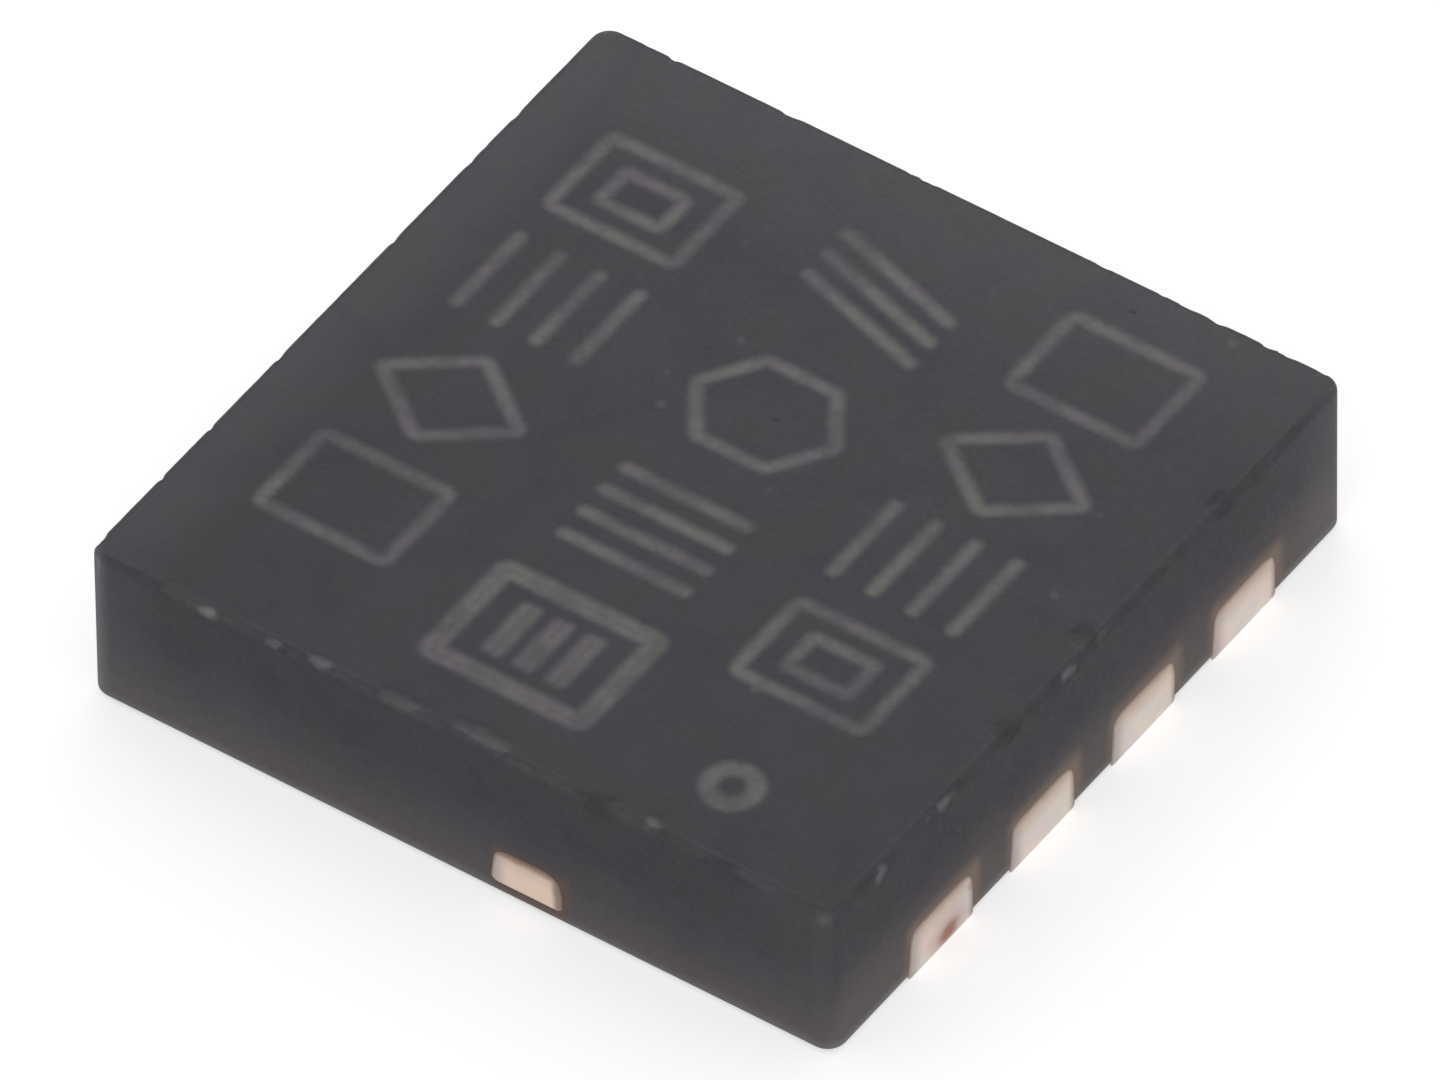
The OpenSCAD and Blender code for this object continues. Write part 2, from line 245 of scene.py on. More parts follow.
class Graph:
    """A node tree written down as calls and sums, with one node for each."""

    def __init__(self, tree):
        self.tree = tree
        self.count = 0

    def add(self, kind, settings=None, outputs=0, **inputs):
        """Adds a node, sets its fields and its inputs, and returns one of its outputs."""
        node = self.tree.nodes.new(kind)
        node.location = (NODE_WIDTH * (self.count // COLUMN), -NODE_HEIGHT * (self.count % COLUMN))
        self.count += 1
        for field, value in (settings or {}).items():
            setattr(node, field, value)
        self.feed(node, **inputs)
        return Value(self, node.outputs[outputs])

    def feed(self, node, **inputs):
        """Links or sets inputs, each named in words with underscores, or by number as in i0."""
        for name, value in inputs.items():
            by_number = name[0] == "i" and name[1:].isdigit()
            socket = node.inputs[int(name[1:]) if by_number else name.replace("_", " ")]
            if isinstance(value, Value):
                self.tree.links.new(value.socket, socket)
            elif socket.type == "RGBA" and len(value) == 3:
                socket.default_value = (*value, 1.0)
            else:
                socket.default_value = value

    def math(self, operation, a, b=0.0):
        """Works out an operation on two numbers, on two vectors, or on a vector and a number."""
        vectors = is_vector(a) + is_vector(b)
        if vectors == 0:
            return self.add("ShaderNodeMath", {"operation": operation}, i0=a, i1=b)
        if vectors == 1 and operation == "MULTIPLY":
            return self.add("ShaderNodeVectorMath", {"operation": "SCALE"}, i0=a, Scale=b)
        return self.add("ShaderNodeVectorMath", {"operation": operation}, i0=a, i1=b)

    def most(self, *values):
        return reduce(lambda a, b: self.math("MAXIMUM", a, b), values)

    def dot(self, a, b):
        return self.add("ShaderNodeVectorMath", {"operation": "DOT_PRODUCT"}, "Value", i0=a, i1=b)

    def size(self, vector):
        return self.add("ShaderNodeVectorMath", {"operation": "LENGTH"}, "Value", i0=vector)

    def join(self, x=0.0, y=0.0, z=0.0):
        return self.add("ShaderNodeCombineXYZ", X=x, Y=y, Z=z)

    def xyz(self, vector):
        x = self.add("ShaderNodeSeparateXYZ", i0=vector)
        return x, x.sibling("Y"), x.sibling("Z")

    def noise(self, vector, scale=1.0, detail=3.0, roughness=0.6, seed=None, outputs=0):
        """Noise from 0 to 1, in four dimensions where a seed moves it."""
        fields, moved = ({}, {}) if seed is None else ({"noise_dimensions": "4D"}, {"W": seed})
        return self.add(
            "ShaderNodeTexNoise", fields, outputs,
            Vector=vector, Scale=scale, Detail=detail, Roughness=roughness, **moved,
        )

    def mix(self, share, a, b):
        """Colour a where share is 0 and b where it is 1."""
        return self.add("ShaderNodeMix", {"data_type": "RGBA"}, 2, i0=share, i6=a, i7=b)

    def layers(self, ground, *layers):
        """Lays colours over a ground one after another, each by its share."""
        return reduce(lambda below, layer: self.mix(layer[0], below, layer[1]), layers, ground)


class Finish(Graph):
    """A new material, with its surface shader and its Object coordinates in millimetres."""

    def __init__(self, name):
        self.material = bpy.data.materials.new(name)
        self.material.use_nodes = True
        super().__init__(self.material.node_tree)
        coordinates = self.add("ShaderNodeTexCoord", outputs="Object")
        self.spot = self.add("ShaderNodeMapping", Vector=coordinates, Scale=(1 / MM, 1 / MM, 1 / MM))

    def attribute(self, name):
        """A number that the mesh has for each of its points."""
        return self.add("ShaderNodeAttribute", {"attribute_name": name}, "Fac")

    def done(self, relief, depth, strength=0.5, **inputs):
        """Feeds the surface, with a fine relief whose depth is in millimetres, and returns the material."""
        normal = self.add("ShaderNodeBump", Height=relief, Distance=depth * MM, Strength=strength)
        self.feed(self.tree.nodes["Principled BSDF"], Normal=normal, **inputs)
        return self.material


class GeometryTree(Graph):
    """A Geometry Nodes tree with named inputs, which ends in Realize Instances and Set Material."""

    def __init__(self, name, things, lengths):
        tree = bpy.data.node_groups.new(name, "GeometryNodeTree")
        kinds = {"Geometry": "Geometry", "Seed": "Int", "Material": "Material"}
        kinds |= dict.fromkeys(things, "Object") | dict.fromkeys(lengths, "Float")
        for label, kind in kinds.items():
            tree.interface.new_socket(label, in_out="INPUT", socket_type=f"NodeSocket{kind}")
        tree.interface.new_socket("Geometry", in_out="OUTPUT", socket_type="NodeSocketGeometry")
        super().__init__(tree)
        outputs = tree.nodes.new("NodeGroupInput").outputs
        self.inputs = {label: Value(self, outputs[label]) for label in kinds}

    def contents(self, label):
        """The geometry of an object that comes in as an input."""
        return self.add("GeometryNodeObjectInfo", outputs="Geometry", Object=self.inputs[label])

    def named(self, name, kind="FLOAT_VECTOR"):
        """The attribute of that name."""
        return self.add("GeometryNodeInputNamedAttribute", {"data_type": kind}, Name=name)

    def finish(self, geometry):
        """Realizes the geometry, gives it its material and sends it out."""
        real = self.add("GeometryNodeRealizeInstances", i0=geometry)
        dressed = self.add("GeometryNodeSetMaterial", Geometry=real, Material=self.inputs["Material"])
        self.feed(self.tree.nodes.new("NodeGroupOutput"), i0=dressed)
        return self.tree


def run_tree(obj, tree, values):
    """Runs a tree on an object with its inputs set by identifier, and leaves the plain result as its mesh."""
    modifier = obj.modifiers.new(tree.name, "NODES")
    modifier.node_group = tree
    identifiers = {
        item.name: item.identifier
        for item in tree.interface.items_tree
        if item.item_type == "SOCKET" and item.in_out == "INPUT"
    }
    for label, value in values.items():
        modifier[identifiers[label]] = value
    graph = bpy.context.evaluated_depsgraph_get()
    plain = bpy.data.meshes.new_from_object(obj.evaluated_get(graph))
    obj.modifiers.remove(modifier)
    old = obj.data
    obj.data = plain
    plain.name = obj.name
    bpy.data.meshes.remove(old)


# Objects

def new_object(name, data):
    obj = bpy.data.objects.new(name, data)
    bpy.context.scene.collection.objects.link(obj)
    return obj


def mesh_object(name, bm):
    """A new object with the mesh that was built."""
    mesh = bpy.data.meshes.new(name)
    bm.to_mesh(mesh)
    bm.free()
    return new_object(name, mesh)


def drop_object(obj):
    """Removes a helper object and its data."""
    data = obj.data
    store = bpy.data.curves if isinstance(data, bpy.types.Curve) else bpy.data.meshes
    bpy.data.objects.remove(obj)
    store.remove(data)


def point_object(name, places, values):
    """A mesh of loose points, with a named value or vector for each point."""
    mesh = bpy.data.meshes.new(name)
    mesh.from_pydata([tuple(spot) for spot in places], [], [])
    for label, numbers in values.items():
        flat = np.array(numbers, float)
        kind, field = ("FLOAT", "value") if flat.ndim == 1 else ("FLOAT_VECTOR", "vector")
        mesh.attributes.new(label, kind, "POINT").data.foreach_set(field, flat.ravel())
    return new_object(name, mesh)


def soften(mesh, limit=math.radians(32)):
    """Smooth shading, with the edges that turn more than limit kept sharp."""
    bm = bmesh.new()
    bm.from_mesh(mesh)
    for face in bm.faces:
        face.smooth = True
    for edge in bm.edges:
        edge.smooth = edge.is_manifold and edge.calc_face_angle(0) < limit
    bm.to_mesh(mesh)
    bm.free()


def merged_copy(node):
    """The mesh of a node of the frame, merged and ready to be worked on."""
    bm = bmesh.new()
    bm.from_mesh(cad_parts[node].data)
    bmesh.ops.remove_doubles(bm, verts=bm.verts, dist=MERGE)
    return bm


# Cut ends of the lead frame

CutEnd = namedtuple("CutEnd", "middle width height facing")


def face_islands(faces):
    """Groups of faces that hang together by their edges."""
    waiting = set(faces)
    while waiting:
        island, front = set(), [waiting.pop()]
        while front:
            face = front.pop()
            island.add(face)
            linked = {other for edge in face.edges for other in edge.link_faces} & waiting
            waiting -= linked
            front.extend(linked)
        yield island


def cut_ends(node):
    """Each flat end of a lead frame piece that lies in a side wall of the block."""
    bm = merged_copy(node)
    ends = []
    for x, y in ((0, -1), (0, 1), (-1, 0), (1, 0)):
        facing = Vector((x, y, 0))
        wall = wall_x if x else wall_y
        in_wall = [f for f in bm.faces if all(v.co.dot(facing) > wall - ON_FACE for v in f.verts)]
        for island in face_islands(in_wall):
            points = [v.co for face in island for v in face.verts]
            low = Vector(map(min, *points))
            high = Vector(map(max, *points))
            size = high - low
            ends.append(CutEnd((low + high) / 2, max(size.x, size.y), size.z, facing))
    bm.free()
    return sorted(ends, key=lambda end: tuple(end.middle))


# Moulded block

# Rings of the upper skin: below the edge, round it, and on the top face
WALL_RINGS, EDGE_RINGS, TOP_RINGS = 6, 7, 5
# Rounding that is left at the innermost ring, as a share of the edge's radius
INNER_ROUNDING = 0.1
# Smallest distance of a filling point from the ring, as a share of the ring's spacing
CLEAR_OF_RING = 0.6
# Points nearer than this, in millimetres, count as one when a ring is filled
SAME_POINT = 1e-5


def edge_radii(mesh):
    """Radius of the block's upright corners and of its top edge, read off its mesh."""
    on_wall = [v.co.x for v in mesh.vertices if v.co.y > wall_y - ON_FACE]
    on_top = [v.co.y for v in mesh.vertices if v.co.z > top_z - ON_FACE]
    return wall_x - max(on_wall), wall_y - max(on_top)


def outline_point(point, corner_radius, inset):
    """The point of the block's outline nearest to point, drawn in by inset."""
    core = Vector((
        min(max(point[0], corner_radius - wall_x), wall_x - corner_radius),
        min(max(point[1], corner_radius - wall_y), wall_y - corner_radius),
    ))
    out = Vector((point[0], point[1])) - core
    return core + out.normalized() * (corner_radius - inset)


def cut_loop(bm, height):
    """Cuts the block off at a height and returns the corners of the cut, anticlockwise from above."""
    cut = bmesh.ops.bisect_plane(
        bm, geom=bm.verts[:] + bm.edges[:] + bm.faces[:], dist=MERGE,
        plane_co=(0, 0, height), plane_no=(0, 0, 1), clear_outer=True,
    )
    corners = [item for item in cut["geom_cut"] if isinstance(item, bmesh.types.BMVert)]
    return sorted(corners, key=lambda vert: math.atan2(vert.co.y, vert.co.x))


def divide_loop(bm, corners, step):
    """Splits the edges of a loop to a spacing of about step and returns its points in order."""
    loop = []
    for first, last in zip(corners, corners[1:] + corners[:1]):
        loop.append(first)
        edge = bm.edges.get((first, last))
        parts = max(1, round(edge.calc_length() / step))
        start = first
        for left in range(parts, 1, -1):
            edge, start = bmesh.utils.edge_split(edge, start, 1 / left)
            edge = bm.edges.get((start, last))
            loop.append(start)
    return loop


def skin_levels(settings, corner_radius, edge_radius):
    """Height and inset of each ring of the upper skin, from the wall over the edge onto the top."""
    straight = top_z - edge_radius
    levels = [(straight - settings.edge_zone * (1 - i / WALL_RINGS), 0.0) for i in range(WALL_RINGS + 1)]
    for i in range(1, EDGE_RINGS + 1):
        turn = math.pi / 2 * i / EDGE_RINGS
        levels.append((straight + edge_radius * math.sin(turn), edge_radius * (1 - math.cos(turn))))
    last_inset = corner_radius - INNER_ROUNDING * edge_radius
    for i in range(1, TOP_RINGS + 1):
        levels.append((top_z, edge_radius + (last_inset - edge_radius) * i / TOP_RINGS))
    return levels


def ring_faces(bm, low, high):
    for i in range(len(low)):
        j = (i + 1) % len(low)
        bm.faces.new((low[i], low[j], high[j], high[i]))


def distance_to(points, strokes):
    """Distance from each point to the nearest stroke."""
    nearest = np.full(len(points), np.inf)
    for stroke, closed in strokes:
        line = np.array(stroke + stroke[:1] if closed else stroke)
        for a, b in zip(line[:-1], line[1:]):
            along = b - a
            share = np.clip(((points - a) @ along) / max(along @ along, MERGE * MERGE), 0, 1)
            nearest = np.minimum(nearest, np.hypot(*(points - a - share[:, None] * along).T))
    return nearest


def lattice(half_x, half_y, step):
    """Points of a triangular lattice over a rectangle."""
    rows = np.arange(-half_y, half_y, step * math.sqrt(3) / 2)
    columns = np.arange(-half_x, half_x, step)
    x, y = np.meshgrid(columns, rows)
    x = x + (np.arange(len(rows)) % 2)[:, None] * step / 2
    return np.stack([x.ravel(), y.ravel()], 1)


def top_points(marks, strokes, spots):
    """Mesh points of the top face: close together near a stroke or a worn spot and wide apart elsewhere."""
    kept = []
    for step, reach, wanted in (
        (marks.fine_step, marks.fine_step, True),
        (marks.coarse_step, marks.coarse_step / 2, False),
    ):
        points = lattice(wall_x, wall_y, step)
        nearest = distance_to(points, strokes) - marks.stroke / 2 - marks.softness
        for spot in spots:
            away = np.abs(points - spot.middle[:2]) - spot.reach[:2]
            nearest = np.minimum(nearest, away.max(1))
        kept.append(points[(nearest < reach) == wanted])
    return np.concatenate(kept)


def inside_outline(points, edge):
    """True for each point inside a convex outline that runs anticlockwise."""
    inner = np.ones(len(points), bool)
    for a, b in zip(edge, np.roll(edge, -1, 0)):
        along = b - a
        inner &= along[0] * (points[:, 1] - a[1]) - along[1] * (points[:, 0] - a[0]) > 0
    return inner


def fill_ring(bm, ring, points, height):
    """Closes a flat ring with triangles between it and the points inside it, and splits large faces."""
    edge = np.array([vert.co.to_2d() for vert in ring])
    outline = [([tuple(p) for p in edge], True)]
    spacing = np.hypot(*(edge[1] - edge[0]))
    inside = points[(np.abs(points) < np.abs(edge).max(0)).all(1)]
    clear = distance_to(inside, outline) > spacing * CLEAR_OF_RING
    inside = inside[inside_outline(inside, edge) & clear]
    flat = [Vector(p / MM) for p in np.concatenate([edge, inside])]
    count = len(edge)
    border = [(i, (i + 1) % count) for i in range(count)]
    placed, _, faces, sources, _, _ = delaunay_2d_cdt(flat, border, [], 1, SAME_POINT)
    verts = []
    for spot, source in zip(placed, sources):
        old = [i for i in source if i < count]
        verts.append(ring[old[0]] if old else bm.verts.new((spot.x * MM, spot.y * MM, height)))
    for a, b, c in faces:
        turn = (placed[b] - placed[a]).cross(placed[c] - placed[a])
        bm.faces.new((verts[a], verts[b], verts[c]) if turn > 0 else (verts[a], verts[c], verts[b]))
    bmesh.ops.triangulate(bm, faces=[face for face in bm.faces if len(face.verts) > 4])


def skinned_block(settings, marks, strokes, spots):
    """The moulded block: the frame's own walls and pockets below, and a fine skin above them."""
    corner_radius, edge_radius = edge_radii(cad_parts["mould_body"].data)
    bm = merged_copy("mould_body")
    ring = divide_loop(bm, cut_loop(bm, settings.join_height), settings.step)
    for height, inset in skin_levels(settings, corner_radius, edge_radius):
        higher = [
            bm.verts.new((*outline_point(vert.co, corner_radius, inset), height)) for vert in ring
        ]
        ring_faces(bm, ring, higher)
        ring = higher
    fill_ring(bm, ring, top_points(marks, strokes, spots), top_z)
    return mesh_object("moulded_block", bm)


# Size of the noise, in millimetres, that makes strokes wobble, chips ragged and the top edge waver
WOBBLE_SIZE, RAGGED_SIZE, WAVER_SIZE = 0.03, 0.035, 0.09
# How ragged a chip's rim is, and where the chip starts and is full, all in half sizes of its spot
RAGGED, CHIP_RIM = 1.2, (1.2, 0.25)
# Level of the noise at which the top edge stays where it is
WAVER_LEVEL = 0.35


def worn_marked_tree():
    """Geometry Nodes: wears and chips the top edge, and sinks the strokes of the marks into the top face."""
    g = GeometryTree("worn_marked_skin", ("Strokes", "Worn Spots"), (
        "Stroke Width", "Softness", "Depth", "Wobble", "Chip Depth",
        "Half Length", "Half Width", "Top", "Edge Zone", "Edge Waver",
    ))
    inputs = g.inputs
    position = g.add("GeometryNodeInputPosition")
    normal = g.add("GeometryNodeInputNormal")

    # Laser marks: how near each point is to the line of a stroke
    lines = g.add("GeometryNodeCurveToMesh", Curve=g.contents("Strokes"))
    nearest = g.add("GeometryNodeProximity", {"target_element": "EDGES"}, "Distance", i0=lines)
    waver = g.noise(position * (1 / (WOBBLE_SIZE * MM)), detail=2.0, roughness=0.5) - 0.5
    half, soft = inputs["Stroke Width"] * 0.5, inputs["Softness"] * 0.5
    mark = (nearest + waver * inputs["Wobble"]).ramp(half + soft, half - soft)

    # Worn spots: how deep each point lies in the nearest one, with a ragged rim
    spots = g.contents("Worn Spots")
    number = g.add("GeometryNodeSampleNearest", {"domain": "POINT"}, i0=spots)
    middle, reach, tone = (
        g.add("GeometryNodeSampleIndex", {"data_type": kind}, Geometry=spots, Value=value, Index=number)
        for kind, value in (
            ("FLOAT_VECTOR", position),
            ("FLOAT_VECTOR", g.named("reach")),
            ("FLOAT", g.named("tone", "FLOAT")),
        )
    )
    ragged = g.noise(position * (1 / (RAGGED_SIZE * MM)), seed=inputs["Seed"]) * RAGGED - RAGGED / 2
    chip = (g.size((position - middle) / reach) + ragged).ramp(*CHIP_RIM)

    # The worn top edge wavers a little all the way round
    x, y, z = g.xyz(position)
    from_wall = g.math("MINIMUM", inputs["Half Length"] - abs(x), inputs["Half Width"] - abs(y))
    near_edge = g.most(from_wall, inputs["Top"] - z).ramp(inputs["Edge Zone"], 0.0)
    uneven = g.noise(position * (1 / (WAVER_SIZE * MM)), seed=inputs["Seed"]) - WAVER_LEVEL
    wear = uneven * near_edge * inputs["Edge Waver"]

    # All of them move the surface inwards
    worn = normal * ((chip * inputs["Chip Depth"] + wear) * -1.0)
    sunk = g.join(z=mark * inputs["Depth"] * -1.0)
    moved = g.add("GeometryNodeSetPosition", Geometry=inputs["Geometry"], Offset=sunk + worn)
    # bare is chip times tone: bare filler where above nought, painted shade in a hollow where below
    for label, value in (("mark", mark), ("bare", chip * tone)):
        moved = g.add("GeometryNodeStoreNamedAttribute", Geometry=moved, Name=label, Value=value)
    return g.finish(moved)


# In the materials, heights, distances and saw marks are in millimetres and colours are mixed by shares

# How far in from a wall's plane a surface still counts as sawn wall, and as a lead's cut face
WALL_REACH, CUT_REACH = 0.03, 0.004
# How far the saw draws the copper stain towards its exit side
EXIT_SHIFT = 0.028
# Stretch of the noise on the walls and on the copper, drawn out level by the saw
DUST_STRETCH, WALL_STRETCH, COPPER_STRETCH = (2.5, 2.5, 9.0), (3.0, 3.0, 55.0), (6.0, 6.0, 60.0)


def end_distance(g, along, z, end):
    """Distance within a wall from a cut end, more beside it than over it, given that along the wall."""
    beside = (abs(along) - end.width / MM / 2) * 1.4
    over = abs(z - end.middle.z / MM) - end.height / MM / 2
    return g.size(g.join(g.most(beside, 0.0), g.most(over, 0.0)))


def near_wall(across, half_size, reach=WALL_REACH):
    """One in a wall of the block, and nought away from it."""
    return abs(across) > half_size / MM - reach


def moulding_material(body, marks):
    """Fine matt epoxy: mottled charcoal, paler laser marks and chips, and copper stain by the lead ends."""
    g = Finish("charcoal_moulding")
    spot = g.spot
    mark, bare = g.attribute("mark"), g.attribute("bare")
    x, y, z = g.xyz(spot)
    wide, deep = abs(x), abs(y)
    in_y_wall, in_x_wall = near_wall(y, wall_y), near_wall(x, wall_x)
    in_wall = g.most(in_x_wall, in_y_wall)

    # Mottled ground with a few pale filler grains
    grain = g.noise(spot, 45.0)
    cloudy = g.noise(spot, 1.6, roughness=0.55).ramp(0.3, 0.7)
    dappled = g.noise(spot, 4.5, 2.0, 0.5).ramp(0.32, 0.68)
    mottle = grain * 0.27 + (dappled * 0.33 + cloudy * 0.30)
    greenish = g.noise(spot, 2.8, roughness=0.55).ramp(0.42, 0.60, 0.0, 0.75)
    from_cell = g.add("ShaderNodeTexVoronoi", Vector=spot, Scale=7.0)
    chosen = g.xyz(from_cell.sibling("Color"))[0] < 0.055
    fleck = from_cell.ramp(0.24, 0.04) * chosen * 0.16

    # Paler along the top edge, partly wear and partly a painted highlight on its rounded bevel, and a painted
    # sheen towards the far ends
    from_wall = wall_x / MM - g.most(wide, deep)
    from_edge = g.most(from_wall, top_z / MM - z)
    from_bevel = abs(from_wall - 0.032)
    uneven = g.noise(spot, 7.0).ramp(0.3, 0.7, 0.05, 0.16) * y.ramp(-1.62, -1.45, 0.74, 1.0)
    worn_and_lit_edge = (from_edge.ramp(0.040, 0.006) + from_bevel.ramp(0.026, 0.006, 0.0, 0.35)) * uneven
    far = g.most(
        x.ramp(0.9, 1.7, 0.0, 0.088), y.ramp(1.25, 1.6, 0.0, 0.105),
        in_x_wall * y.ramp(-1.0, -1.6, 0.0, 0.045), in_y_wall * x.ramp(1.2, 1.65, 0.0, 0.22),
    )

    # Painted light low on the walls, lighter and warmer towards their foot as if bounced up from the floor,
    # and paler along the upright corners
    patchy = g.noise(spot * DUST_STRETCH)
    x_side = (deep - wide).ramp(0.08, -0.06)
    low_wall_light = (patchy * 0.16 + z).ramp(0.60, 0.10) * (x_side * 0.3 + 0.45)
    warm_foot_light = (x_side * 0.25 + z).ramp(0.50, 0.08) * (x_side * -0.07 + 0.27)
    rim = (patchy * 0.03 + z).ramp(0.095, 0.035) * (x_side * -0.42 + 0.80)
    at_corner = (wide + deep).ramp(3.19, 3.25) * y.ramp(-1.5, 1.5, 0.06, 0.26)
    ground = g.layers(
        body.plain_colour,
        (mottle, body.pale_colour),
        (greenish, body.green_colour),
        (fleck, body.chip_and_light_colour),
        # Painted highlight along the worn top edge and painted sheen towards the far ends
        (g.most(worn_and_lit_edge, far), body.chip_and_light_colour),
        # Painted light low on the walls, warmer at their foot
        (low_wall_light * in_wall, body.low_wall_light_colour),
        (warm_foot_light * in_wall, body.foot_light_colour),
        (g.most(rim * in_wall, at_corner), body.chip_and_light_colour),
    )

    # Copper stain round the lead ends
    lead, tie = cut_ends("gate_lead")[0], cut_ends("drain_paddle")[0]
    outer = lead.middle.x / MM
    pitch = 2 * outer / 3
    from_lead = g.math("PINGPONG", x - (outer + EXIT_SHIFT), pitch / 2)
    in_row = in_y_wall * (wide < 2 * pitch)
    from_tie = y - (tie.middle.y / MM - EXIT_SHIFT)
    blur = (patchy - 0.5) * 0.03
    for along, end, wall, reach, share, tint in (
        (from_lead, lead, in_row, 0.11, 1.0, body.stain_colour),
        (from_tie, tie, in_x_wall, 0.08, 0.85, body.tie_stain_colour),
    ):
        stained = (end_distance(g, along, z, end) + blur).ramp(reach, 0.0, 0.0, share)
        ground = g.mix(stained * wall, ground, tint)

    # Paler marks and bare filler, and painted shade in the hollows where bare is below nought
    speckle = g.noise(spot, 28.0, 2.0).ramp(0.25, 0.75, 0.8, 1.0)
    faint = g.noise(spot, 5.0).ramp(0.35, 0.62, 0.55, 1.0)
    lilac = g.noise(spot, 3.1, 2.0, 0.5).ramp(0.42, 0.58)
    tint = g.layers(
        ground,
        (mark * (speckle * faint), g.mix(lilac, marks.mark_colour, marks.mark_tint)),
        (bare, body.chip_and_light_colour),
        (bare * -1.0, body.hollow_shade_colour),
    )

    # Fine relief, drawn out along the walls by the saw
    rough = in_wall.ramp(0.0, 1.0, body.roughness, body.sawn_roughness) + grain.ramp(0.2, 0.8, -0.06, 0.08)
    relief = grain + g.noise(spot, 12.0, 2.0, 0.5) * 1.2 + g.noise(spot * WALL_STRETCH) * in_wall * 1.2
    return g.done(relief, 0.0025, Base_Color=tint, Roughness=rough, Specular_IOR_Level=0.38)


# Laser marks, drawn as simple shapes

def rounded(corners, *cuts, steps=5):
    """Points of a closed outline with each corner rounded off between a cut before it and one after it."""
    points = []
    count = len(corners)
    for i, corner in enumerate(corners):
        here = Vector(corner)
        cut = cuts[i % len(cuts)]
        before = here + (Vector(corners[i - 1]) - here).normalized() * cut
        after = here + (Vector(corners[(i + 1) % count]) - here).normalized() * cut
        for k in range(steps + 1):
            t = k / steps
            points.append(before * (1 - t) ** 2 + here * 2 * t * (1 - t) + after * t * t)
    return points


def box_ring(w, h):
    return [(rounded([(w, h), (-w, h), (-w, -h), (w, -h)], 0.16 * w), True)]


def nested_boxes(w, h):
    return box_ring(w, h) + box_ring(0.42 * w, 0.48 * h)


def diamond_ring(w, h):
    return [(rounded([(w, 0), (0, h), (-w, 0), (0, -h)], 0.12 * w), True)]


def six_sided_ring(w, h):
    corners = [(w, 0.5 * h), (0, h), (-w, 0.5 * h), (-w, -0.5 * h), (0, -h), (w, -0.5 * h)]
    return [(rounded(corners, 0.1 * w), True)]


def level_bars(w, h, heights=(-1, -1 / 3, 1 / 3, 1)):
    return [([(-w, y * h), (w, y * h)], False) for y in heights]


def upright_bars(w, h, places=(-1, -1 / 3, 1 / 3, 1), lean=0):
    return [([(x * w - lean * w, -h), (x * w + lean * w, h)], False) for x in places]


def slanting_bars(w, h):
    return upright_bars(w, h, (-0.6, 0, 0.6), 0.4)


def hatched_block(w, h):
    """A frame drawn twice over, so that it reads as one thick line, round three thick bars."""
    frames = box_ring(w, h) + box_ring(0.88 * w, 0.91 * h)
    return frames + level_bars(0.45 * w, h, (-0.45, -0.35, -0.05, 0.05, 0.35, 0.45))


def pin_one_ring(w, h):
    """Two circles close enough together to read as one thick ring."""
    steps = 24
    turns = [2 * math.pi * i / steps for i in range(steps)]
    return [([(r * w * math.cos(a), r * h * math.sin(a)) for a in turns], True) for r in (0.82, 1.0)]


# Each mark: its shape, its middle in millimetres, and its size as a share of a cell
MARKS = (
    (box_ring, -0.87, 1.00, 1.0),
    (diamond_ring, -0.26, 1.00, 1.1),
    (level_bars, 0.36, 1.00, 0.95),
    (nested_boxes, 0.97, 1.00, 1.0),
    (hatched_block, -1.10, 0.00, 1.25),
    (upright_bars, -0.39, 0.00, 0.95),
    (six_sided_ring, 0.32, 0.00, 1.1),
    (slanting_bars, 1.04, 0.00, 1.0),
    (nested_boxes, -0.60, -0.92, 1.0),
    (level_bars, 0.00, -0.92, 0.95),
    (diamond_ring, 0.58, -0.92, 1.1),
    (box_ring, 1.16, -0.92, 1.0),
)
PIN_ONE = (-1.30, -0.97)
PIN_ONE_RADIUS = 0.098


def mark_strokes(settings):
    """The lines of all the marks on the top face, each as points and whether it closes."""
    half_width, half_height = settings.cell_width / 2, settings.cell_height / 2
    marks = [(shape(half_width * size, half_height * size), x, y) for shape, x, y, size in MARKS]
    marks.append((pin_one_ring(PIN_ONE_RADIUS * MM, PIN_ONE_RADIUS * MM), *PIN_ONE))
    return [
        ([(x * MM + p[0], y * MM + p[1]) for p in points], closed)
        for lines, x, y in marks for points, closed in lines
    ]


def stroke_curve(strokes):
    """A curve object with one spline for each stroke, on the top face."""
    curve = bpy.data.curves.new("mark_strokes", "CURVE")
    curve.dimensions = "3D"
    for points, closed in strokes:
        spline = curve.splines.new("POLY")
        spline.points.add(len(points) - 1)
        for target, (x, y) in zip(spline.points, points):
            target.co = (x, y, top_z, 1)
        spline.use_cyclic_u = closed
    return new_object("mark_strokes", curve)


WornSpot = namedtuple("WornSpot", "middle reach tone")
